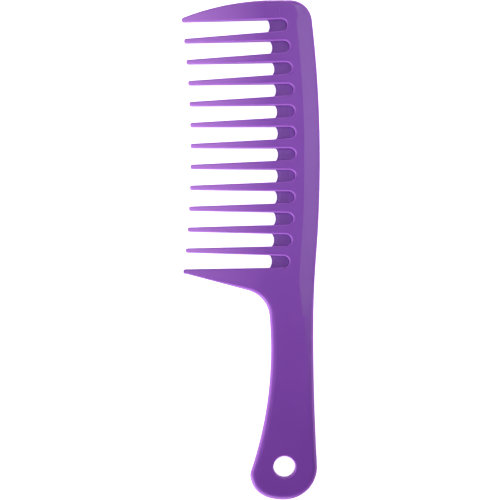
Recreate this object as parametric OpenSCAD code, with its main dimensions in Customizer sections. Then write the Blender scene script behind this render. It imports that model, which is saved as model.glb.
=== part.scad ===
// Wide tooth comb: one injection moulding, 13 teeth on a curved back, with a waisted handle and a hang hole.
// It lies flat: +Y runs to the head end, the teeth point to -X, the back faces +X, and Z is the thickness.
// Each node is one region of the moulding, and the regions meet face to face.

/* [Overall] */
// Length from the head end to the butt of the handle
comb_l = 240; // [225:1:255]
// Width from the front guard tooth's tip to the crown of the back
comb_w = 66.6; // [63:0.2:70]
// Thickness of the back and the handle
thick = 6; // [5:0.1:7]

/* [Back] */
// Radius of the long curve of the back
back_r = 583; // [500:1:700]
// Height of the crown of the back above the middle of the comb
back_crown_y = 43.3; // [38:0.1:48]
// Radius of the corner at the head end
corner_r = 10.5; // [7:0.1:12]
// Width of the sloped band along the back
band_w = 7.5; // [5:0.1:9]
// How far the sloped band falls away on each face
band_drop = 1.1; // [0.4:0.1:1.6]
// Rounding along the outer edge of the back
back_edge_r = 1.6; // [1:0.1:2.4]

/* [Teeth] */
// Spacing of the teeth where they leave the back
pitch = 10.33; // [9.8:0.01:10.6]
// Height of the row's first tooth line above the middle of the comb
row_top_y = 113.14; // [112:0.02:114]
// Radius of the shallow arc that the slot ends and tooth tips follow
row_r = 470; // [400:1:600]
// Height of the middle of that arc
row_crown_y = 46.6; // [42:0.1:50]
// Length of each slot, from the web to the tooth tips
slot_l = 42; // [38:0.1:44]
// Lean of the first middle tooth towards the handle, in degrees
lean_first = 3.13; // [1:0.01:4]
// Change of lean from one tooth to the next, in degrees
lean_step = 0.336; // [0.1:0.001:0.4]
// Width of a tooth at its root
tooth_root_w = 4.65; // [4:0.05:5.2]
// Width of a tooth at its tip
tooth_tip_w = 2.15; // [1.6:0.05:2.8]
// Thickness of a tooth at its tip
tooth_tip_t = 2.8; // [2.2:0.1:4]
// Rounding along the edges of the teeth and the pockets
tooth_edge_r = 0.8; // [0.6:0.05:1.4]

/* [Pockets] */
// Length of the pocket at the closed end of each slot
pocket_l = 8.5; // [6:0.1:9]
// Thickness of the web that closes each pocket at mid-thickness
web_t = 1.6; // [1.2:0.1:2]
// Radius of the scooped free edge of each web
web_scoop_r = 4.8; // [3.3:0.1:5]

/* [Guard teeth] */
// Radius of the front guard tooth's outer curve
front_guard_r = 122; // [110:1:140]
// Distance from the middle of the comb to where that curve leaves the head end
front_guard_x = 11.7; // [10:0.1:12]
// Slope of the rear guard tooth's outer side, in degrees
rear_guard_slope = 14.8; // [12:0.1:17]
// Radius where the rear guard tooth runs into the handle
throat_r = 14; // [10:0.5:18]

/* [Handle] */
// Width of the handle at its waist
waist_w = 20.3; // [18:0.1:23]
// Distance from the middle of the comb to the back's side of the waist
waist_x = 30.1; // [29:0.1:31]
// How far below the middle of the comb the back is narrowest
waist_drop = 38.5; // [34:0.5:42]
// How far below the middle of the comb the front of the waist is deepest
front_waist_drop = 48; // [45:0.5:50]
// Radius of the waist's front curve
front_waist_r = 182; // [172:1:184]
// Radius of the handle's back curve below the waist
back_waist_r = 1170; // [900:10:1500]
// Radius of the rounded butt
butt_r = 15.8; // [14.5:0.1:17]
// Extra fullness at the front corner of the butt
butt_heel = 1.7; // [0:0.1:2.4]
// Rounding along the handle's front edge
grip_edge_r = 3.1; // [2:0.1:3.6]
// Rounding along the handle's back edge
rear_edge_r = 2.4; // [1.6:0.1:3]

/* [Hang hole] */
// Diameter of the hang hole
hole_d = 10.5; // [6:0.5:12]
// Width of the bevel round the hang hole
hole_bevel = 0.5; // [0.2:0.1:0.8]

/* [View] */
// Part to show

/* [Hidden] */
purple = [0.49, 0.31, 0.65];
deep_purple = [0.43, 0.26, 0.59];
clearance = 1;            // how far cutters stand past the faces they cut
arc_steps = 5;            // flats round one rounded edge
last_tooth = 12;          // the rear guard, counting the front guard as 0
mid_z = thick / 2;
top_y = comb_l / 2;
grip_flank = 1 / 3;       // share of the half thickness that stays straight, on the handle and the back
tooth_flank = 2 / 3;      // the same on the teeth and the pockets
pocket_r = (pitch - tooth_root_w) / 2;
throat_edge_r = grip_edge_r;
head_edge_r = 2.2;        // rounding along the head end
flat_margin = 0.5;        // flat strip kept inside each rounding

// Arc of the tooth row: how far it falls back from its crown at height y
function row_sag(y) = row_r - sqrt(row_r * row_r - pow(y - row_crown_y, 2));
guard_tip_y = tooth_line_y(0) - tan(lean(0)) * slot_l;
tip_crown_x = -comb_w / 2 + row_sag(guard_tip_y);
web_crown_x = tip_crown_x + slot_l;
root_crown_x = web_crown_x + pocket_l - pocket_r;
function root_x(y) = root_crown_x - row_sag(y);
function tip_x(y) = tip_crown_x - row_sag(y);

// Centre lines and edges of the teeth. side is 1 for the edge nearer the head end and -1 for the other.
function lean(i) = lean_first - lean_step * (i - 1);
function tooth_line_y(i) = row_top_y - pitch * i;
function root_pt(i, side) =
  let (y = tooth_line_y(i) + side * tooth_root_w / 2) [root_x(y), y];
function tip_mid(i) =
  let (y = tooth_line_y(i) - (root_x(tooth_line_y(i)) - tip_crown_x) * tan(lean(i))) [tip_x(y), y];
function tip_pt(i, side) = tip_mid(i) + side * tooth_tip_w / 2 * [-sin(lean(i)), cos(lean(i))];
function on_edge(i, side, s) = mix(root_pt(i, side), tip_pt(i, side), s);

function mix(a, b, t) = a + (b - a) * t;
function unit(v) = v / norm(v);
function turn(c, r, a) = c + r * [cos(a), sin(a)];
function ease(t) = let (u = min(max(t, 0), 1)) u * u * (3 - 2 * u);

// Outline of the back: crown arc, then a tangent hollow down to the waist, then a long shallow curve.
crown_x = comb_w / 2;
crown_to_waist = [crown_x - waist_x, back_crown_y + waist_drop];
hollow_r = crown_to_waist * crown_to_waist / (2 * crown_to_waist.x) - back_r;
hollow_top_y = -waist_drop + crown_to_waist.y * hollow_r / (back_r + hollow_r);
function back_x(y) =
  y > hollow_top_y ? crown_x - back_r + sqrt(back_r * back_r - pow(y - back_crown_y, 2)) :
  y > -waist_drop ? waist_x + hollow_r - sqrt(hollow_r * hollow_r - pow(y + waist_drop, 2)) :
  waist_x + back_waist_r - sqrt(back_waist_r * back_waist_r - pow(y + waist_drop, 2));

// Corner at the head end, tangent to the end and to the crown arc
corner_y = top_y - corner_r;
corner_x = crown_x - back_r + sqrt(pow(back_r - corner_r, 2) - pow(corner_y - back_crown_y, 2));
corner_end = asin((corner_y - back_crown_y) / (back_r - corner_r));

// Front of the handle, and the throat where the rear guard tooth runs into it
front_x = waist_x - waist_w;
front_centre = [front_x - front_waist_r, -front_waist_drop];
function handle_x(y) = front_centre.x + sqrt(front_waist_r * front_waist_r - pow(y - front_centre.y, 2));
slope_dir = [cos(rear_guard_slope), -sin(rear_guard_slope)];
slope_out = [-sin(rear_guard_slope), -cos(rear_guard_slope)];
rear_tip = tip_pt(last_tooth, -1) + [tooth_tip_w / 2, 0];
throat_start = rear_tip + throat_r * slope_out - front_centre;
throat_b = throat_start * slope_dir;
throat_gap = front_waist_r - throat_r;
throat_run = -throat_b + sqrt(throat_b * throat_b - throat_start * throat_start + throat_gap * throat_gap);
throat_centre = front_centre + throat_start + throat_run * slope_dir;
throat_top_a = 90 - rear_guard_slope;
throat_end_dir = unit(throat_centre - front_centre);
throat_end_a = atan2(throat_end_dir.y, throat_end_dir.x);
rear_root = root_pt(last_tooth, 1);
joint_dir = unit(rear_root - throat_centre);
joint_a = atan2(joint_dir.y, joint_dir.x);
throat_joint = turn(throat_centre, throat_r, joint_a);
grip_y = throat_centre.y + throat_r * sin(throat_end_a);

// Butt of the handle, swept round the hang hole, a little fuller at the front corner
butt_y = -top_y + butt_r;
butt_x = waist_x + pow(butt_y + waist_drop, 2) / (2 * back_waist_r) - butt_r;
heel_a = 216;             // direction of the full corner
heel_spread = 54;         // how far it reaches on both sides
butt_front_a = 190;       // where the butt takes over from the front curve
function butt_reach(a) =
  let (d = abs(a - heel_a)) butt_r + (d < heel_spread ? butt_heel * pow(cos(90 * d / heel_spread), 2) : 0);
function butt_pt(a) = turn([butt_x, butt_y], butt_reach(a), a);
butt_front_y = butt_pt(butt_front_a).y;
butt_front_in = [-cos(butt_front_a), -sin(butt_front_a)];
butt_step = 5;
butt_end_gap = 0.6;       // half angle of the narrow strip that closes the butt

// Half of a rounded edge, from the flank at mid-thickness up to the face: [distance in, height]
function rounded(r, h, drop = 0, flank = grip_flank) =
  let (f = h * flank, rise = h - drop - f)
  [for (k = [0 : arc_steps]) let (a = 90 * k / arc_steps) [r * (1 - cos(a)), f + rise * sin(a)]];
function banded(r, h, drop, band) = concat(rounded(r, h, drop), [[band, h]]);

// One side of a cross-section, from the lower face to the upper face
function side(p, d, e) = concat(
  [for (k = [len(e) - 1 : -1 : 0]) [p.x + d.x * e[k].x, p.y + d.y * e[k].x, mid_z - e[k].y]],
  [for (q = e) [p.x + d.x * q.x, p.y + d.y * q.x, mid_z + q.y]]
);
function flip(v) = [for (k = [len(v) - 1 : -1 : 0]) v[k]];
function section(pa, da, ea, pb, db, eb) = concat(side(pa, da, ea), flip(side(pb, db, eb)));
// A cross-section whose two sides face each other
function across(pa, ea, pb, eb) = section(pa, unit(pb - pa), ea, pb, unit(pa - pb), eb);
// Direction into the material from an edge given as x(y), for a slope dx/dy; s is 1 at the front, -1 at the back
function inward(slope, s) = unit([s, -s * slope]);
function back_in(y) = inward((back_x(y + 0.01) - back_x(y - 0.01)) / 0.02, -1);
function handle_in(y) = inward((handle_x(y + 0.01) - handle_x(y - 0.01)) / 0.02, 1);

// A solid through a run of cross-sections
module loft(s, zip_end = false) {
  n = len(s);
  m = len(s[0]);
  sides = [for (i = [0 : n - 2], j = [0 : m - 1])
    let (a = i * m + j, b = a + m, k = (j + 1) % m, c = (i + 1) * m + k, d = i * m + k)
    each [[a, b, c], [a, c, d]]];
  last = (n - 1) * m;
  end_cap = zip_end
    ? [for (j = [0 : m / 2 - 2]) let (a = last + j, b = last + m - 1 - j)
        each [[a, b, b - 1], [a, b - 1, a + 1]]]
    : [[for (j = [m - 1 : -1 : 0]) last + j]];
  polyhedron(points = [for (q = s) each q], faces = concat(sides, [[for (j = [0 : m - 1]) j]], end_cap), convexity = 8);
}

// Half thickness of a tooth, at the fraction s of its length from root to tip. It leaves the back level.
taper_in = 0.24;          // share of the length over which the taper sets in
function taper(s) = (s < taper_in ? s * s / (2 * taper_in) : s - taper_in / 2) / (1 - taper_in / 2);
function tooth_h(s) = mix(thick, tooth_tip_t, taper(s)) / 2;
// The blunt rounded end of a tooth: [fraction of the length, share of the full size]
tip_ends = [[0.978, 1], [0.988, 0.94], [0.996, 0.78], [1, 0.45]];

// One middle tooth
module tooth(i) {
  body = [for (s = [0, 0.08, 0.16, 0.24, 0.5, 0.75]) [s, 1]];
  color(purple)
    loft([for (q = concat(body, tip_ends)) let (
        s = q[0],
        a = on_edge(i, -1, s),
        b = on_edge(i, 1, s),
        c = (a + b) / 2,
        r = min(tooth_edge_r, norm(b - a) * q[1] * 0.36),
        e = rounded(r, tooth_h(s) * q[1], 0, tooth_flank)
      ) across(c + (a - c) * q[1], e, c + (b - c) * q[1], e)]);
}

// Web closing the slot between teeth i - 1 and i at mid-thickness
module web(i) {
  a0 = root_pt(i - 1, -1);
  b0 = root_pt(i, 1);
  run = pocket_l - pocket_r + web_scoop_r / 2;
  a1 = on_edge(i - 1, -1, run / norm(tip_pt(i - 1, -1) - a0));
  b1 = on_edge(i, 1, run / norm(tip_pt(i, 1) - b0));
  m0 = (a0 + b0) / 2;
  scoop = m0 + unit((a1 + b1) / 2 - m0) * (pocket_l - pocket_r + web_scoop_r);
  color(deep_purple)
    difference() {
      translate([0, 0, mid_z - web_t / 2])
        linear_extrude(web_t)
          polygon([a0, a1, b1, b0]);
      translate([scoop.x, scoop.y, 0])
        cylinder(h = thick, r = web_scoop_r, $fn = 72);
    }
}

// The round end of a pocket, cut from the upper face
module pocket_end() {
  e = rounded(tooth_edge_r, mid_z, 0, tooth_flank);
  profile = concat(
    [[0, web_t / 2], [pocket_r, web_t / 2]],
    [for (q = e) [pocket_r + q.x, q.y]],
    [[pocket_r + tooth_edge_r, mid_z + clearance], [0, mid_z + clearance]]
  );
  rotate([0, 0, 180])
    rotate_extrude($fn = 72)
      polygon(profile);
}

// Edges of the back's solid from the head end down to the handle
head_steps = 3;           // stations along the flat head end
corner_steps = 8;
long_steps = 22;          // stations down the tooth row
throat_steps = 8;
head_start = [root_x(top_y), top_y];
first_root = root_pt(0, -1);
head_dir = unit(first_root - head_start);
head_inner = head_start + head_dir * (head_edge_r + 2 * flat_margin);
corner_count = head_steps + corner_steps;
corner_drop = 6;          // how far the inner side moves down while the outer side rounds the corner
crown_end_y = corner_y + corner_r * sin(corner_end);
root_face_low = 0.3;      // lowest of the heights that the root face is drawn at, above mid-thickness

module back_solid() {
  root_face = [for (k = [0 : arc_steps]) [0, mix(root_face_low, mid_z, k / arc_steps)]];
  head = [for (k = [0 : corner_count - 1]) let (
      t = k / corner_count,
      u = max(k - head_steps, 0) / corner_steps,
      a = mix(90, corner_end, u),
      p = k < head_steps ? mix(head_start, [corner_x, top_y], k / head_steps)
        : turn([corner_x, corner_y], corner_r, a),
      d = k < 1 ? head_dir : [-cos(a), -sin(a)],
      y = head_inner.y - corner_drop * t,
      e = banded(
        mix(head_edge_r, back_edge_r, u), mid_z, band_drop * ease(u),
        mix(head_edge_r + flat_margin, band_w, ease(u)))
    ) section(p, d, e, [root_x(y), y], [0, 0], root_face)];
  row = [for (k = [0 : long_steps]) let (
      t = k / long_steps,
      ya = mix(crown_end_y, rear_root.y, t),
      yb = mix(head_inner.y - corner_drop, rear_root.y, t)
    ) section(
      [back_x(ya), ya], back_in(ya), banded(back_edge_r, mid_z, band_drop, band_w),
      [root_x(yb), yb], [0, 0], root_face)];
  join = throat_joint + joint_dir * (throat_edge_r + flat_margin);
  throat = [for (k = [0 : throat_steps + 1]) let (
      t = k / (throat_steps + 1),
      u = max(k - 1, 0) / throat_steps,
      ya = mix(rear_root.y, grip_y, 0.15 + 0.85 * t),
      a = mix(joint_a, throat_end_a, u),
      d = k < 1 ? [0, 0] : [cos(a), sin(a)],
      fade = ease(t),
      p = k < 1 ? join : turn(throat_centre, throat_r, a),
      e = k < 1 ? root_face : rounded(throat_edge_r, mid_z)
    ) section([back_x(ya), ya], back_in(ya), shoulder_edge(fade), p, d, e)];
  loft(concat(head, row, throat));
}
// The band narrows and flattens from the foot of the tooth row to the handle
function shoulder_edge(t) =
  banded(mix(back_edge_r, rear_edge_r, t * 0.6), mid_z, band_drop * (1 - 0.6 * t), mix(band_w, 5.5, t));
function grip_edge(t) = let (u = ease(t * 2))
  banded(mix(mix(back_edge_r, rear_edge_r, 0.6), rear_edge_r, u), mid_z, band_drop * 0.4 * (1 - u),
    mix(5.5, rear_edge_r + flat_margin, u));

// Back: the curved spine with a round pocket end on both faces behind each slot
module back() {
  color(purple)
    difference() {
      back_solid();
      for (i = [1 : last_tooth])
        let (c = (root_pt(i - 1, -1) + root_pt(i, 1)) / 2)
          translate([c.x, c.y, mid_z]) {
            pocket_end();
            mirror([0, 0, 1])
              pocket_end();
          }
    }
}

// Handle with its rounded butt and the hang hole
grip_steps = 18;
settle_from = 0.6;        // share of the grip after which its cross-sections start to turn into the butt
hole_wide = hole_d / 2 + hole_bevel + clearance;  // radius of the bevel's cutter past the face
module handle_solid() {
  grip = [for (k = [0 : grip_steps]) let (
      t = k / grip_steps,
      ya = mix(grip_y, butt_y, t),
      yb = mix(grip_y, butt_front_y, t)
    ) section(
      [back_x(ya), ya], back_in(ya), grip_edge(t),
      [handle_x(yb), yb], unit(mix(handle_in(yb), butt_front_in, ease((t - settle_from) / (1 - settle_from)))),
      banded(grip_edge_r, mid_z, 0, grip_edge_r + flat_margin))];
  turns = floor((270 - butt_front_a) / butt_step);
  butt = [for (k = [1 : turns]) let (
      u = k / turns,
      a = mix(360, 270 + butt_end_gap, u),
      b = mix(butt_front_a, 270 - butt_end_gap, u),
      r = mix(rear_edge_r, grip_edge_r, u)
    ) section(
      butt_pt(a), [-cos(a), -sin(a)], banded(r, mid_z, 0, r + flat_margin),
      butt_pt(b), [-cos(b), -sin(b)], banded(grip_edge_r, mid_z, 0, grip_edge_r + flat_margin))];
  loft(concat(grip, butt), zip_end = true);
}
module handle() {
  color(purple)
    difference() {
      handle_solid();
      translate([butt_x, butt_y, mid_z])
        rotate_extrude($fn = 96)
          polygon(concat(
            [[0, mid_z + clearance], [hole_wide, mid_z + clearance], [hole_wide - clearance, mid_z]],
            [[hole_d / 2, mid_z - hole_bevel], [hole_d / 2, hole_bevel - mid_z]],
            [[hole_wide - clearance, -mid_z], [hole_wide, -mid_z - clearance], [0, -mid_z - clearance]]
          ));
    }
}

// Front guard tooth: arched outer side, straight inner side
guard_steps = 14;
function front_guard_y(x) =
  top_y - front_guard_r + sqrt(front_guard_r * front_guard_r - pow(min(x - front_guard_x, 0), 2));
module guard_front() {
  body = [for (k = [0 : guard_steps]) [0.978 * k / guard_steps, 1]];
  ends = [for (k = [1 : len(tip_ends) - 1]) tip_ends[k]];
  color(purple)
    loft([for (q = flip(concat(body, ends))) let (
        s = q[0],
        a = on_edge(0, -1, s),
        x = mix(head_start.x, tip_pt(0, -1).x, s),
        b = [x, front_guard_y(x)],
        c = (a + b) / 2,
        h = tooth_h(s) * q[1]
      ) across(
        c + (b - c) * q[1], rounded(mix(head_edge_r, tooth_edge_r, s) * q[1], h),
        c + (a - c) * q[1], rounded(tooth_edge_r * q[1], h, 0, tooth_flank))]);
}

// Rear guard tooth: straight inner side, straight sloping outer side that turns into the throat
throat_guard_steps = 6;
module guard_rear() {
  slope_share = 0.3;        // share of the inner side that faces the throat
  line_end = turn(throat_centre, throat_r, throat_top_a);
  throat_part = [for (k = [0 : throat_guard_steps - 1]) let (u = k / throat_guard_steps)
    [slope_share * u, turn(throat_centre, throat_r, mix(joint_a, throat_top_a, u)), 1]];
  line_part = [for (k = [0 : guard_steps]) let (u = k / guard_steps)
    [mix(slope_share, 0.978, u), mix(line_end, rear_tip, u * 0.985), 1]];
  end_part = [for (k = [1 : len(tip_ends) - 1])
    [tip_ends[k][0], mix(line_end, tip_pt(last_tooth, -1), tip_ends[k][0]), tip_ends[k][1]]];
  color(purple)
    loft([for (q = concat(throat_part, line_part, end_part)) let (
        s = q[0],
        a = q[1],
        b = on_edge(last_tooth, 1, s),
        c = (a + b) / 2,
        h = tooth_h(s) * q[2]
      ) across(
        c + (a - c) * q[2], rounded(mix(throat_edge_r, tooth_edge_r, min(s * 1.5, 1)) * q[2], h),
        c + (b - c) * q[2], rounded(tooth_edge_r * q[2], h, 0, tooth_flank))]);
}

back();
handle();
guard_front();
guard_rear();
tooth(1);  // tooth_01
tooth(2);  // tooth_02
tooth(3);  // tooth_03
tooth(4);  // tooth_04
tooth(5);  // tooth_05
tooth(6);  // tooth_06
tooth(7);  // tooth_07
tooth(8);  // tooth_08
tooth(9);  // tooth_09
tooth(10);  // tooth_10
tooth(11);  // tooth_11
web(1);  // web_01
web(2);  // web_02
web(3);  // web_03
web(4);  // web_04
web(5);  // web_05
web(6);  // web_06
web(7);  // web_07
web(8);  // web_08
web(9);  // web_09
web(10);  // web_10
web(11);  // web_11
web(12);  // web_12
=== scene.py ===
# %% [markdown]
# # A wide tooth comb
# This lesson dresses a handled hair comb for its picture. The comb is one injection moulding in satin
# purple plastic: a curved back, thirteen teeth, a thin web at the closed end of every slot, and a
# waisted handle with a hang hole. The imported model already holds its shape, in metres, lying flat with
# the head end towards +Y and the teeth towards -X. The lesson loads it as a fixed frame and never moves
# it. Each region then gets a finer piece of its own, with soft edges, smooth shading and a finish.

import math

import bmesh
import bpy
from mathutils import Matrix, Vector


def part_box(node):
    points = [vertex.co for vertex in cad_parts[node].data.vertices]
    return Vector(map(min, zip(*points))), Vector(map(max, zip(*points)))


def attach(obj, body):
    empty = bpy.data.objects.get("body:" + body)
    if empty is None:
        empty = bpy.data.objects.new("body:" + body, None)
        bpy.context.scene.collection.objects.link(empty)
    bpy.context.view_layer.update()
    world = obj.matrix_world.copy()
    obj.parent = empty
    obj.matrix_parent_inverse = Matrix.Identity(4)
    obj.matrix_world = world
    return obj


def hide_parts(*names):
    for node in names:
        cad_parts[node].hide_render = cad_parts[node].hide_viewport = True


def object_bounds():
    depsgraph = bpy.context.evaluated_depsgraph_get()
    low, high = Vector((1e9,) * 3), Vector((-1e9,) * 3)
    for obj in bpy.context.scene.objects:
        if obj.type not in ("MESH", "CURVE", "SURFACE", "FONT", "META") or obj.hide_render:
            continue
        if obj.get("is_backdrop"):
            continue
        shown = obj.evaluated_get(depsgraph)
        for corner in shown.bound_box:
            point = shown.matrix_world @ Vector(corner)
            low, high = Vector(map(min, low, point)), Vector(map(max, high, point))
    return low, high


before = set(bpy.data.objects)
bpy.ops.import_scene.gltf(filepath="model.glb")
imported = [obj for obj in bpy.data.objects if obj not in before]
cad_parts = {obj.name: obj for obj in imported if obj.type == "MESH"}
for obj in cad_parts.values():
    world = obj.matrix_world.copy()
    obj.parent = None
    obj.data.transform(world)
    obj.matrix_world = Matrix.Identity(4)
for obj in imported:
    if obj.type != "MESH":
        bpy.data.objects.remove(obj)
cad_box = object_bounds()
MM = 0.001
comb_size = (cad_box[1] - cad_box[0]) / MM
mid_z = (cad_box[0].z + cad_box[1].z) / 2
print("regions of the comb:", len(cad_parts))
print("size in mm:", [round(v, 1) for v in comb_size])

# %% [markdown]
# ## The camera
# A comb is drawn from straight above, so that its slots show clear through. A camera that isn't turned
# looks straight down with +Y at the top, which is what is wanted here. It stands 690 mm above
# mid-thickness, near enough for the slots' walls to show a little at both ends of the row. The lens
# length comes from the width of the view at that height, so it can be changed without any trial.

# %% Stand the camera over the comb
CAMERA_HEIGHT = 0.690
VIEW_WIDTH = 0.24065
CAMERA_OFF = (-0.00034, -0.00005)

lens = bpy.data.cameras.new("comb_camera")
lens.sensor_width = 36
lens.lens = lens.sensor_width * CAMERA_HEIGHT / VIEW_WIDTH
lens.clip_start, lens.clip_end = 0.02, 20
camera = bpy.data.objects.new("comb_camera", lens)
camera.location = (*CAMERA_OFF, mid_z + CAMERA_HEIGHT)
bpy.context.collection.objects.link(camera)
bpy.context.scene.camera = camera
print("lens in mm:", round(lens.lens, 1))

# %% [markdown]
# ## The floor
# The comb lies on a plain white sheet. A white diffuse floor alone turns grey as soon as a lamp is
# dimmed, and a comb throws shadows from both sides. A sheet lit from within stays even, as a light
# table does. It is hidden from mirror rays, because its reflection in the flanks would wash out the
# comb's edges. A plain grid is enough for it, because nothing on it has to bend.

# %% Lay the floor
FLOOR_HALF = 3.0
FLOOR_GLOW = 0.9
FLOOR_PAINT = (0.8, 0.8, 0.8, 1)
FLOOR_ROUGHNESS = 0.9
FLOOR_SPECULAR = 0.1


def new_piece(name, bm):
    """Turns a bmesh into a linked object that sits at the origin."""
    mesh = bpy.data.meshes.new(name)
    bm.to_mesh(mesh)
    bm.free()
    made = bpy.data.objects.new(name, mesh)
    bpy.context.collection.objects.link(made)
    return made


bm = bmesh.new()
bmesh.ops.create_grid(bm, x_segments=1, y_segments=1, size=FLOOR_HALF)
bmesh.ops.translate(bm, verts=bm.verts, vec=(0, 0, cad_box[0].z))
floor = new_piece("floor", bm)
floor.visible_glossy = False
floor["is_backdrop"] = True

floor_white = bpy.data.materials.new("light_table")
floor_white.use_nodes = True
shader = floor_white.node_tree.nodes["Principled BSDF"]
shader.inputs["Base Color"].default_value = FLOOR_PAINT
shader.inputs["Roughness"].default_value = FLOOR_ROUGHNESS
shader.inputs["Specular IOR Level"].default_value = FLOOR_SPECULAR
shader.inputs["Emission Color"].default_value = (1, 1, 1, 1)
shader.inputs["Emission Strength"].default_value = FLOOR_GLOW
floor.data.materials.append(floor_white)
print("floor is", 2 * FLOOR_HALF, "m across")

# %% [markdown]
# ## Soft studio light
# Satin plastic shows its light as broad pale strips along every rounded edge. Bare lamps would make
# hard glints, so each lamp is a large soft panel. Four hang high over the row of teeth. Their beams are
# narrowed, so that the light pools on the row and fades along the handle, and most of it comes from the
# back's side, so that the sloped band stands out. A small panel stands near the head end. The others
# stand low on the floor, where they skim over the flat faces and light the edges and pocket walls.
# A panel's place is given by a compass angle, a height angle and a distance, as in a studio plan.

# %% Hang the lights
LOW_SIZE = (0.40, 0.28)
HIGH_SIZE = (0.22, 0.22)
NARROW_BEAM = math.radians(34)
WIDE_BEAM = math.pi
ROW_MIDDLE = Vector((0, 0.045, 0))
HEAD_END = Vector((0, 0.095, 0))
NEAR_SIZE = (0.25, 0.20)
NEAR_DISTANCE = 0.32
PANEL_DISTANCE = 0.6
SKY_STRENGTH = 0.04

world = bpy.data.worlds.new("dim_room")
world.use_nodes = True
world.node_tree.nodes["Background"].inputs["Color"].default_value = (1, 1, 1, 1)
world.node_tree.nodes["Background"].inputs["Strength"].default_value = SKY_STRENGTH
bpy.context.scene.world = world
bpy.context.scene.view_settings.view_transform = "Standard"


def soft_panel(name, compass, height_angle, power, size=LOW_SIZE, beam=WIDE_BEAM, aim=Vector(),
               distance=PANEL_DISTANCE):
    """A large area lamp. Compass 0 is +X and 90 is +Y, both seen from the point it is aimed at."""
    lamp = bpy.data.lights.new(name, "AREA")
    lamp.shape = "RECTANGLE"
    lamp.size, lamp.size_y = size
    lamp.spread = beam
    lamp.energy = power
    turn, tilt = math.radians(compass), math.radians(height_angle)
    towards = Vector((math.cos(turn) * math.cos(tilt), math.sin(turn) * math.cos(tilt), math.sin(tilt)))
    made = bpy.data.objects.new(name, lamp)
    made.location = aim + towards * distance
    made.rotation_euler = (-towards).to_track_quat("-Z", "Y").to_euler()
    made.visible_camera = False
    bpy.context.collection.objects.link(made)
    return made


panels = [
    soft_panel("high_back_head", 45, 58, 0.046, HIGH_SIZE, NARROW_BEAM, ROW_MIDDLE),
    soft_panel("high_back", 0, 68, 0.030, HIGH_SIZE, NARROW_BEAM, ROW_MIDDLE),
    soft_panel("high_teeth", 180, 70, 0.034, HIGH_SIZE, NARROW_BEAM, ROW_MIDDLE),
    soft_panel("high_head", 90, 66, 0.012, HIGH_SIZE, NARROW_BEAM, HEAD_END),
    soft_panel("near_head", 90, 28, 0.155, NEAR_SIZE, WIDE_BEAM, ROW_MIDDLE, NEAR_DISTANCE),
    soft_panel("low_grip", 215, 15, 3.0),
    soft_panel("low_butt", 262, 15, 1.7),
    soft_panel("low_teeth", 180, 15, 0.6),
    soft_panel("low_head", 45, 15, 0.35),
    soft_panel("low_back", 0, 28, 0.75),
]
print("panels:", [o.name for o in panels])

# %% [markdown]
# ### The studio wall
# From a low viewpoint the camera looks past the floor. A wide pale dome closes the view there. It is
# seen by the camera only, so it neither lights the comb nor shows in its gloss.

# %% Close the view
WALL_RADIUS = 2.9
WALL_GLOW = 0.9
WALL_SEGMENTS = 48

bm = bmesh.new()
bmesh.ops.create_uvsphere(bm, u_segments=WALL_SEGMENTS, v_segments=WALL_SEGMENTS // 2, radius=WALL_RADIUS)
for face in bm.faces:
    face.smooth = True
wall = new_piece("studio_wall", bm)
wall.visible_diffuse = wall.visible_glossy = wall.visible_shadow = False
wall.visible_transmission = wall.visible_volume_scatter = False
wall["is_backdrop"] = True
wall_white = bpy.data.materials.new("pale_wall")
wall_white.use_nodes = True
shader = wall_white.node_tree.nodes["Principled BSDF"]
shader.inputs["Base Color"].default_value = (0, 0, 0, 1)
shader.inputs["Specular IOR Level"].default_value = 0.0
shader.inputs["Emission Color"].default_value = (1, 1, 1, 1)
shader.inputs["Emission Strength"].default_value = WALL_GLOW
wall.data.materials.append(wall_white)
print("wall radius", WALL_RADIUS, "m")

# %% [markdown]
# ## Effects that the finishes share
# Every region is the same plastic, but the teeth are polished by use and the webs are left as they
# come from the mould, and the webs are painted darker as painted shade deep in the slots. So the
# effects are node groups, each built once and placed in every finish with its own values. A group gives
# out only colours, masks and heights; the shader stays in the material.
#
# All patterns read Object coordinates, and the rim mask reads the object normal. Every piece sits at the
# origin, so a pattern runs across the joints between regions without a break, as in one moulding.

# %% A helper for node groups
def new_group(name, inputs, outputs):
    """A shader node group with named sockets. Each entry is (name, kind, value)."""
    group = bpy.data.node_groups.new(name, "ShaderNodeTree")
    for label, kind, value in inputs:
        socket = group.interface.new_socket(label, in_out="INPUT", socket_type="NodeSocket" + kind)
        socket.default_value = value
    for label, kind in outputs:
        group.interface.new_socket(label, in_out="OUTPUT", socket_type="NodeSocket" + kind)
    return group, group.nodes.new("NodeGroupInput"), group.nodes.new("NodeGroupOutput")


def add_node(tree, kind, **values):
    """Adds a node of a kind and sets its properties."""
    node = tree.nodes.new("ShaderNode" + kind)
    for label, value in values.items():
        setattr(node, label, value)
    return node


def feed(tree, node, socket, value):
    """Sets one input of a node, or links it when the value is another node's output."""
    if isinstance(value, bpy.types.NodeSocket):
        tree.links.new(value, node.inputs[socket])
    else:
        node.inputs[socket].default_value = value


def math_step(tree, operation, first, second=0.0, clamp=False):
    """One Math node."""
    node = add_node(tree, "Math", operation=operation, use_clamp=clamp)
    feed(tree, node, 0, first)
    feed(tree, node, 1, second)
    return node.outputs[0]


def object_place(tree, scale=(1, 1, 1)):
    """Object coordinates, stretched by a Mapping node."""
    coordinates = add_node(tree, "TexCoord")
    mapping = add_node(tree, "Mapping")
    feed(tree, mapping, "Vector", coordinates.outputs["Object"])
    feed(tree, mapping, "Scale", scale)
    return mapping.outputs["Vector"]


def noise_value(tree, place, scale, detail=3.0):
    """The value of a noise, about 0.5 on average."""
    noise = add_node(tree, "TexNoise")
    feed(tree, noise, "Vector", place)
    feed(tree, noise, "Scale", scale)
    feed(tree, noise, "Detail", detail)
    return noise.outputs["Fac"]


print("helpers ready")

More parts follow.
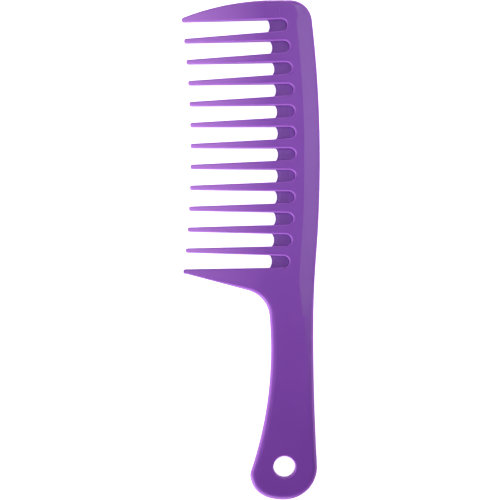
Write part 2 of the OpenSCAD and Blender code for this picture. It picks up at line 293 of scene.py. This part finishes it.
# %% [markdown]
# ### Grain of the mould
# The mould is lightly blasted, which leaves a fine even grain a little under half a millimetre across.
# An image would show its edges; noise has none. A second, broader noise stands for the slight
# unevenness of a face that cooled in the mould. Only a height comes out, for a Bump node.

# %% Make the grain
grain, ends_in, ends_out = new_group(
    "mould_grain",
    [("Fine Size", "Float", 0.35), ("Fine Share", "Float", 0.6), ("Broad Size", "Float", 5.0)],
    [("Height", "Float")],
)
place = object_place(grain)
MM_PER_M = 1000.0
FINE_DETAIL, BROAD_DETAIL = 2.0, 1.0
fine_scale = math_step(grain, "DIVIDE", MM_PER_M, ends_in.outputs["Fine Size"])
broad_scale = math_step(grain, "DIVIDE", MM_PER_M, ends_in.outputs["Broad Size"])
fine = noise_value(grain, place, fine_scale, FINE_DETAIL)
broad = noise_value(grain, place, broad_scale, BROAD_DETAIL)
fine_part = math_step(grain, "MULTIPLY", fine, ends_in.outputs["Fine Share"])
height = math_step(grain, "ADD", fine_part, broad)
grain.links.new(height, ends_out.inputs["Height"])
print(grain.name, "gives", [s.name for s in grain.interface.items_tree if s.in_out == "OUTPUT"])

# %% [markdown]
# ### Flow of the colour
# Purple masterbatch never mixes quite evenly. It leaves long, faint streaks along the way the melt ran,
# from the handle to the head end. A noise stretched along Y makes them. It is multiplied by broader
# clouds, so that the streaks come and go, and mixed a little towards a deeper tone.

# %% Make the colour flow
flow, ends_in, ends_out = new_group(
    "colour_flow",
    [("Plastic", "Color", (0.2, 0.1, 0.4, 1)), ("Deep Tone", "Color", (0.1, 0.05, 0.2, 1)),
     ("Amount", "Float", 0.2)],
    [("Color", "Color")],
)
STREAK_STRETCH = (1.0, 0.22, 1.0)
STREAK_SCALE, STREAK_DETAIL = 90.0, 4.0
CLOUD_SCALE, CLOUD_DETAIL = 28.0, 2.0
FLOW_GAIN = 3.0
streaks = noise_value(flow, object_place(flow, STREAK_STRETCH), STREAK_SCALE, STREAK_DETAIL)
clouds = noise_value(flow, object_place(flow), CLOUD_SCALE, CLOUD_DETAIL)
both = math_step(flow, "MULTIPLY", streaks, clouds)
share = math_step(flow, "MULTIPLY", both, FLOW_GAIN, clamp=True)
share = math_step(flow, "MULTIPLY", share, ends_in.outputs["Amount"])
mix = add_node(flow, "Mix", data_type="RGBA")
feed(flow, mix, "Factor", share)
flow.links.new(ends_in.outputs["Plastic"], mix.inputs[6])
flow.links.new(ends_in.outputs["Deep Tone"], mix.inputs[7])
flow.links.new(mix.outputs[2], ends_out.inputs["Color"])
print(flow.name, "ready")

# %% [markdown]
# ### Wear from hands and hair
# Use polishes satin plastic unevenly. That changes its roughness more than its colour, so a soft noise
# takes a little off the roughness in broad patches. The amount is kept small: with more polish on a
# glossier surface, dark blotches showed on the flat faces. The group takes the roughness of the new surface
# and gives back the worn one.

# %% Make the wear
wear, ends_in, ends_out = new_group(
    "use_wear", [("Roughness", "Float", 0.4), ("Polish", "Float", 0.05)], [("Roughness", "Float")]
)
PATCH_SCALE = 60.0
patches = noise_value(wear, object_place(wear), PATCH_SCALE)
polish = math_step(wear, "MULTIPLY", patches, ends_in.outputs["Polish"])
rough = math_step(wear, "SUBTRACT", ends_in.outputs["Roughness"], polish, clamp=True)
wear.links.new(rough, ends_out.inputs["Roughness"])
print(wear.name, "ready")

# %% [markdown]
# ### The parting line
# The two halves of the mould meet at mid-thickness and leave a hairline ridge all round the flanks.
# A strip of mesh that thin would only flicker, so it is a height: a narrow peak where Z is at
# mid-thickness. The webs lie across that level, but their faces are well above and below it.

# %% Make the parting line
RIDGE_HALF = 0.12 * MM
parting, ends_in, ends_out = new_group(
    "parting_line", [("Level", "Float", mid_z), ("Half Width", "Float", RIDGE_HALF)], [("Height", "Float")]
)
coordinates = add_node(parting, "TexCoord")
apart = add_node(parting, "SeparateXYZ")
feed(parting, apart, "Vector", coordinates.outputs["Object"])
off_level = math_step(
    parting, "ABSOLUTE", math_step(parting, "SUBTRACT", apart.outputs["Z"], ends_in.outputs["Level"]))
ratio = math_step(parting, "DIVIDE", off_level, ends_in.outputs["Half Width"])
peak = math_step(parting, "SUBTRACT", 1.0, ratio, clamp=True)
parting.links.new(peak, ends_out.inputs["Height"])
print("parting line at", round(mid_z / MM, 2), "mm")

# %% [markdown]
# ### Painted light at the thin tips
# Towards its tip a tooth is thin enough for light to pass. The shader lets no light through, so that glow
# is painted light: the tips are painted a paler purple. The tips lie along a shallow arc. Its crown is the
# tip that lies furthest in, and its radius follows from the sag at the first tooth. The group measures
# how far a point lies inside that arc and gives a mask that is 1 at the tips and 0 further in.

# %% Find the arc of the tips and make the mask
TEETH = [f"tooth_{i:02d}" for i in range(1, 12)]
WEBS = [f"web_{i:02d}" for i in range(1, 13)]
tip_points = [(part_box(n)[0].x, (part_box(n)[0].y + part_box(n)[1].y) / 2) for n in TEETH]
crown_x, crown_y = max(tip_points)
end_x, end_y = tip_points[0]
arc_radius = (end_y - crown_y) ** 2 / (2 * (crown_x - end_x))

tips, ends_in, ends_out = new_group(
    "painted_tip_glow",
    [("Crown X", "Float", crown_x), ("Crown Y", "Float", crown_y), ("Radius", "Float", arc_radius),
     ("Reach", "Float", 0.006)],
    [("Mask", "Float")],
)
coordinates = add_node(tips, "TexCoord")
apart = add_node(tips, "SeparateXYZ")
feed(tips, apart, "Vector", coordinates.outputs["Object"])
along = math_step(tips, "SUBTRACT", apart.outputs["Y"], ends_in.outputs["Crown Y"])
squared = math_step(tips, "MULTIPLY", along, along)
double_radius = math_step(tips, "MULTIPLY", ends_in.outputs["Radius"], 2.0)
sag = math_step(tips, "DIVIDE", squared, double_radius)
inward = math_step(tips, "ADD", math_step(
    tips, "SUBTRACT", apart.outputs["X"], ends_in.outputs["Crown X"]), sag)
far = math_step(tips, "DIVIDE", inward, ends_in.outputs["Reach"], clamp=True)
mask = math_step(tips, "SUBTRACT", 1.0, far)
tips.links.new(mask, ends_out.inputs["Mask"])
print("tips crown at x", round(crown_x / MM, 1), "mm, arc radius", round(arc_radius / MM), "mm")

# %% [markdown]
# ### Painted light in the rims
# Purple plastic lets a little light through. Where the surface rolls over at a rim, light comes in from
# the side and out at the top. The shader lets no light through, so that glow is painted light: every rim
# is painted paler than the flat face beside it, as a painted highlight. How far the surface is tilted
# tells where that happens, so the mask is made from the upright part of the object normal.

# %% Make the rim mask
rims, ends_in, ends_out = new_group(
    "rim_light", [("Start", "Float", 0.97), ("Full", "Float", 0.70)], [("Mask", "Float")]
)
coordinates = add_node(rims, "TexCoord")
apart = add_node(rims, "SeparateXYZ")
feed(rims, apart, "Vector", coordinates.outputs["Normal"])
upright = math_step(rims, "ABSOLUTE", apart.outputs["Z"])
tilted = math_step(rims, "SUBTRACT", ends_in.outputs["Start"], upright)
span = math_step(rims, "SUBTRACT", ends_in.outputs["Start"], ends_in.outputs["Full"])
mask = math_step(rims, "DIVIDE", tilted, span, clamp=True)
rims.links.new(mask, ends_out.inputs["Mask"])
print(rims.name, "ready")

# %% [markdown]
# ## The finishes
# One helper puts the shared groups together with each finish's own values. The constant settings are
# set straight on the shader's own sockets. The bump is kept low: satin plastic looks smooth, and its
# grain only softens the reflections. Grip and teeth share one painted highlight on the rims, so that no
# step shows where they meet. It fades along each tooth, because the tip is already painted pale all over.

# %% Make the finishes
PURPLE = (0.205, 0.052, 0.400, 1)
DEEP_PURPLE = (0.150, 0.036, 0.310, 1)
# Painted light: the paler purple of the thin tips.
PAINTED_TIP_LIGHT = (0.420, 0.170, 0.640, 1)
# Painted shade: the darker purple of the webs and pocket floors, deep in the slots.
RECESS_SHADE_PURPLE = (0.170, 0.044, 0.335, 1)
SHEEN_TINT = (0.86, 0.62, 1.0, 1)
# Painted highlight: the paler purple that the rolled rims are mixed towards.
PAINTED_RIM_LIGHT = (0.480, 0.150, 0.720, 1)
TIP_LIGHT_REACH = 0.040
RIM_LIGHT_SHARE = 0.65
RIM_LIGHT_FADE = 0.9
PLASTIC_IOR = 1.47
SPECULAR_LEVEL = 0.4
SHEEN_WEIGHT, SHEEN_ROUGHNESS = 0.25, 0.4
FLOW_AMOUNT = 0.30
FINE_SHARE = 0.6
BROAD_SIZE = 6.0
RIDGE_HEIGHT = 1.5


def plastic_finish(name, roughness, polish, grain_depth, fine_size, rim_light_share, tip_light_share=0.0,
                   plastic=PURPLE):
    """Satin purple plastic built from the shared effects, with painted light at its rims and tips."""
    made = bpy.data.materials.new(name)
    made.use_nodes = True
    tree = made.node_tree
    shader = tree.nodes["Principled BSDF"]
    shader.inputs["IOR"].default_value = PLASTIC_IOR
    shader.inputs["Specular IOR Level"].default_value = SPECULAR_LEVEL
    shader.inputs["Sheen Weight"].default_value = SHEEN_WEIGHT
    shader.inputs["Sheen Roughness"].default_value = SHEEN_ROUGHNESS
    shader.inputs["Sheen Tint"].default_value = SHEEN_TINT

    colour = add_node(tree, "Group", node_tree=flow)
    feed(tree, colour, "Plastic", plastic)
    feed(tree, colour, "Deep Tone", DEEP_PURPLE)
    feed(tree, colour, "Amount", FLOW_AMOUNT)
    base = colour.outputs["Color"]
    rim_light_factor = rim_light_share
    # Painted light: the tips are mixed towards a paler purple where thin plastic would let light through.
    if tip_light_share:
        tip_glow_mask = add_node(tree, "Group", node_tree=tips)
        for label, value in (("Crown X", crown_x), ("Crown Y", crown_y), ("Radius", arc_radius)):
            feed(tree, tip_glow_mask, label, value)
        feed(tree, tip_glow_mask, "Reach", TIP_LIGHT_REACH)
        paler = add_node(tree, "Mix", data_type="RGBA")
        share = math_step(tree, "MULTIPLY", tip_glow_mask.outputs["Mask"], tip_light_share)
        feed(tree, paler, "Factor", share)
        tree.links.new(base, paler.inputs[6])
        paler.inputs[7].default_value = PAINTED_TIP_LIGHT
        base = paler.outputs[2]
        fade = math_step(tree, "MULTIPLY", tip_glow_mask.outputs["Mask"], -RIM_LIGHT_FADE * rim_light_share)
        rim_light_factor = math_step(tree, "ADD", fade, rim_light_share, clamp=True)
    # Painted highlight: rims are mixed towards a paler purple by how far the surface tilts.
    if rim_light_share:
        rim = add_node(tree, "Group", node_tree=rims)
        lit = add_node(tree, "Mix", data_type="RGBA")
        feed(tree, lit, "Factor", math_step(tree, "MULTIPLY", rim.outputs["Mask"], rim_light_factor))
        tree.links.new(base, lit.inputs[6])
        lit.inputs[7].default_value = PAINTED_RIM_LIGHT
        base = lit.outputs[2]
    tree.links.new(base, shader.inputs["Base Color"])

    used = add_node(tree, "Group", node_tree=wear)
    feed(tree, used, "Roughness", roughness)
    feed(tree, used, "Polish", polish)
    tree.links.new(used.outputs["Roughness"], shader.inputs["Roughness"])

    texture = add_node(tree, "Group", node_tree=grain)
    feed(tree, texture, "Fine Size", fine_size)
    feed(tree, texture, "Fine Share", FINE_SHARE)
    feed(tree, texture, "Broad Size", BROAD_SIZE)
    line = add_node(tree, "Group", node_tree=parting)
    feed(tree, line, "Level", mid_z)
    feed(tree, line, "Half Width", RIDGE_HALF)
    line_part = math_step(tree, "MULTIPLY", line.outputs["Height"], RIDGE_HEIGHT)
    height = math_step(tree, "ADD", texture.outputs["Height"], line_part)
    bump = add_node(tree, "Bump")
    bump.inputs["Distance"].default_value = grain_depth
    tree.links.new(height, bump.inputs["Height"])
    tree.links.new(bump.outputs["Normal"], shader.inputs["Normal"])
    return made


grip_finish = plastic_finish(
    "satin_grip", roughness=0.36, polish=0.06, grain_depth=0.014 * MM, fine_size=0.45, rim_light_share=RIM_LIGHT_SHARE)
tooth_finish = plastic_finish(
    "polished_teeth", roughness=0.36, polish=0.06, grain_depth=0.010 * MM, fine_size=0.40,
    rim_light_share=RIM_LIGHT_SHARE, tip_light_share=1.0)
rear_finish = plastic_finish(
    "polished_rear_guard", roughness=0.36, polish=0.06, grain_depth=0.010 * MM, fine_size=0.40,
    rim_light_share=RIM_LIGHT_SHARE, tip_light_share=0.35)
# The webs' rougher finish is real; their darker purple is painted shade for their place deep in the slots.
matte_shaded_webs = plastic_finish(
    "matte_webs_painted_shade", roughness=0.42, polish=0.04, grain_depth=0.014 * MM, fine_size=0.45,
    rim_light_share=0.0, plastic=RECESS_SHADE_PURPLE)
print("finishes:", [m.name for m in (grip_finish, tooth_finish, rear_finish, matte_shaded_webs)])

# %% [markdown]
# ## A piece for each region
# A region's frame mesh is loose triangles. A copy of it is welded, its flat triangles are dissolved
# into clean faces, and its edges are marked: soft where the surface rolls over, sharp where a region
# ends against its neighbour. The neighbours' rounded sides meet with the same slope, so shading that
# stops at the joint faces leaves no seam. Weighting the normals by face area keeps the broad faces
# flat right up to their rounded edges, which plain smooth shading would muddy.

# %% Helpers for the pieces
WELD = 2e-6
FLAT_ANGLE = math.radians(0.12)
SHARP_ANGLE = math.radians(40)
FACE_WEIGHT = 60


def welded_copy(node):
    """A clean bmesh of a frame node: doubles merged and flat triangles dissolved."""
    bm = bmesh.new()
    bm.from_mesh(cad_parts[node].data)
    bmesh.ops.remove_doubles(bm, verts=bm.verts, dist=WELD)
    bmesh.ops.dissolve_degenerate(bm, edges=bm.edges, dist=WELD)
    bmesh.ops.dissolve_limit(
        bm, angle_limit=FLAT_ANGLE, use_dissolve_boundaries=False, verts=bm.verts, edges=bm.edges)
    bm.normal_update()
    return bm


def finish_piece(bm, node, finish):
    """Marks soft and sharp edges, makes the object, and ties it to the frame."""
    bmesh.ops.recalc_face_normals(bm, faces=bm.faces)
    for face in bm.faces:
        face.smooth = True
    for edge in bm.edges:
        edge.smooth = len(edge.link_faces) == 2 and edge.calc_face_angle(0) < SHARP_ANGLE
    made = new_piece("comb_" + node, bm)
    made.data.materials.append(finish)
    weighted = made.modifiers.new("even_faces", "WEIGHTED_NORMAL")
    weighted.keep_sharp = True
    weighted.weight = FACE_WEIGHT
    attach(made, "root")
    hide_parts(node)
    return made


pieces = {}
print("helpers ready")

# %% [markdown]
# ## The back
# The back carries the round end of every pocket, on both faces. A moulder never leaves a sharp inside
# corner, because it would crack there, so the line where a pocket's floor meets its wall is a fillet.
# The bevel operator rounds an inside corner as well as an outside one, so the floor's edge is chosen
# by its level and bevelled.

# %% Make the back
web_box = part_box("web_06")
floor_level = web_box[1].z - mid_z
POCKET_FILLET = 0.7 * MM
FILLET_STEPS = 4
SAME_LEVEL = 0.02 * MM
CORNER_LEAST = math.radians(60)


def at_floor_level(edge):
    """True for an edge that lies in the plane of a pocket's floor."""
    return all(abs(abs(v.co.z - mid_z) - floor_level) < SAME_LEVEL for v in edge.verts)


def is_inside_corner(edge):
    """True where two faces meet in a hollow corner of about a right angle."""
    return (len(edge.link_faces) == 2 and not edge.is_convex
            and edge.calc_face_angle(0) > CORNER_LEAST)


bm = welded_copy("back")
corners = [e for e in bm.edges if at_floor_level(e) and is_inside_corner(e)]
print("floor edges to round:", len(corners))
bmesh.ops.bevel(
    bm, geom=corners, offset=POCKET_FILLET, offset_type="OFFSET", segments=FILLET_STEPS,
    profile=0.5, affect="EDGES", clamp_overlap=True, material=-1)
pieces["back"] = finish_piece(bm, "back", grip_finish)
print("back has", len(pieces["back"].data.polygons), "faces")

# %% [markdown]
# ### The crease of the band and the floor of the pockets
# The sloped band meets the flat face in a crease. It is too shallow for the sharp angle above, so its
# edges are found by their place: level with the face, on the back's side, and bent a little.
# The pockets' floors take the webs' finish, like the webs they run into: their rougher surface is real,
# and their darker purple is painted shade for the recess.

# %% Crease the band and paint shade on the floors
CREASE_LEAST = math.radians(3)
BACK_SHARE = 0.78
CREASE_SIDE = cad_box[0].x + BACK_SHARE * (cad_box[1].x - cad_box[0].x)
FLOOR_TOP = floor_level + 0.9 * POCKET_FILLET
FLOOR_TILT = 0.35

bm = bmesh.new()
bm.from_mesh(pieces["back"].data)
bm.normal_update()
creased = 0
for edge in bm.edges:
    level = all(abs(abs(v.co.z - mid_z) - mid_z) < SAME_LEVEL for v in edge.verts)
    beside = all(v.co.x > CREASE_SIDE for v in edge.verts)
    if level and beside and edge.calc_face_angle(0) > CREASE_LEAST:
        edge.smooth = False
        creased += 1
# Painted shade: the floor faces in the pockets take the darker web colour, for the shade in the recess.
darkened = 0
for face in bm.faces:
    middle = face.calc_center_median()
    inside_pocket = abs(middle.z - mid_z) < FLOOR_TOP and middle.x < CREASE_SIDE
    if inside_pocket and abs(face.normal.z) > FLOOR_TILT:
        face.material_index = 1
        darkened += 1
bm.to_mesh(pieces["back"].data)
bm.free()
pieces["back"].data.materials.append(matte_shaded_webs)
print("creased edges:", creased, "dull faces:", darkened)

# %% [markdown]
# ## The handle and the two guard teeth
# Their shapes are right as they come: the rounded grip, the bevelled hang hole, the arched front guard
# and the sloping rear guard. They need only clean faces and soft shading.

# %% Make the handle and the guards
BROAD_REGIONS = {"handle": grip_finish, "guard_front": tooth_finish, "guard_rear": rear_finish}
for node, finish in BROAD_REGIONS.items():
    pieces[node] = finish_piece(welded_copy(node), node, finish)
    print(node, "has", len(pieces[node].data.polygons), "faces")

# %% [markdown]
# ## The teeth
# Eleven middle teeth, each thinner and narrower towards its tip.

# %% Make the teeth
for node in TEETH:
    pieces[node] = finish_piece(welded_copy(node), node, tooth_finish)
print("teeth made:", len(TEETH))

# %% [markdown]
# ## The webs
# A web is a thin plate between two teeth. Along both teeth its face turns up in the same small fillet
# as the pocket's round end, and its free edge is rounded so that hair doesn't catch.
# The face is cut along lines next to each tooth with bisect_plane, and the new points are lifted along
# a quarter circle. The plate is thinned along a curve towards its free edge, which is then bevelled.

# %% Make the webs
WEB_EDGE = 0.22 * MM
RAMP_SETBACK = 0.9 * MM
RAMP_LENGTH = 2.6 * MM
RAMP_DROP = 0.5 * MM
RAMP_MOST = 1.2 * RAMP_DROP
RAMP_CUTS = 5
LONG_SIDE_AREA = 2 * MM * MM
NEAR_MIDDLE = 0.1 * MM
UPRIGHT, FLAT = 0.1, 0.7
TOWARDS_TIPS = -0.3
CUT_SLACK = 1e-7


def side_lines(bm):
    """The two long sides of a web: a point on each and the direction into the web."""
    lines = []
    for face in bm.faces:
        sideways = abs(face.normal.z) < UPRIGHT and abs(face.normal.y) > FLAT
        if sideways and face.calc_area() > LONG_SIDE_AREA:
            lines.append((face.calc_center_median(), -face.normal.copy()))
    return lines


def turn_up_sides(bm, radius, steps):
    """Lifts a web's faces along its two long sides in a quarter circle."""
    for point, inward in side_lines(bm):
        for k in range(1, steps + 1):
            reach = radius * (1 - math.cos(math.radians(90 * k / steps)))
            bmesh.ops.bisect_plane(
                bm, geom=bm.verts[:] + bm.edges[:] + bm.faces[:], dist=CUT_SLACK,
                plane_co=point + inward * reach, plane_no=inward)
        for vert in bm.verts:
            reach = (vert.co - point).dot(inward)
            if reach < radius - CUT_SLACK and abs(abs(vert.co.z - mid_z) - floor_level) < SAME_LEVEL:
                rise = radius - math.sqrt(max(radius ** 2 - (radius - max(reach, 0)) ** 2, 0))
                vert.co.z += math.copysign(rise, vert.co.z - mid_z)


def thin_free_edge(bm, start_x, cuts):
    """Thins a web towards its free edge, along a curve that starts level."""
    for k in range(cuts):
        bmesh.ops.bisect_plane(
            bm, geom=bm.verts[:] + bm.edges[:] + bm.faces[:], dist=CUT_SLACK,
            plane_co=(start_x - k * RAMP_LENGTH / cuts, 0, 0), plane_no=(1, 0, 0))
    for vert in bm.verts:
        past = start_x - vert.co.x
        if past > 0 and abs(vert.co.z - mid_z) > NEAR_MIDDLE:
            drop = RAMP_DROP * (past / RAMP_LENGTH) ** 2
            vert.co.z -= math.copysign(min(drop, RAMP_MOST), vert.co.z - mid_z)


def is_free_edge(edge):
    """True where a web's broad face meets its scooped free side."""
    return (len(edge.link_faces) == 2
            and any(abs(f.normal.z) > FLAT for f in edge.link_faces)
            and any(f.normal.x < TOWARDS_TIPS and abs(f.normal.z) < UPRIGHT for f in edge.link_faces))


for node in WEBS:
    bm = welded_copy(node)
    turn_up_sides(bm, POCKET_FILLET, FILLET_STEPS)
    thin_free_edge(bm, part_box(node)[0].x + RAMP_LENGTH + RAMP_SETBACK, RAMP_CUTS)
    bm.normal_update()
    free = [e for e in bm.edges if is_free_edge(e)]
    bmesh.ops.bevel(
        bm, geom=free, offset=WEB_EDGE, offset_type="OFFSET", segments=FILLET_STEPS,
        profile=0.5, affect="EDGES", clamp_overlap=True, material=-1)
    pieces[node] = finish_piece(bm, node, matte_shaded_webs)
print("webs made:", len(WEBS), "with", len(pieces["web_06"].data.polygons), "faces each")

# %% [markdown]
# ## Measure the size
# The pieces must not grow past the frame, so their growth is measured and printed.

# %% Measure the growth
new_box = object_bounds()
growth = (new_box[1] - new_box[0]) - (cad_box[1] - cad_box[0])
print("growth in mm:", [round(v / MM, 3) for v in growth])
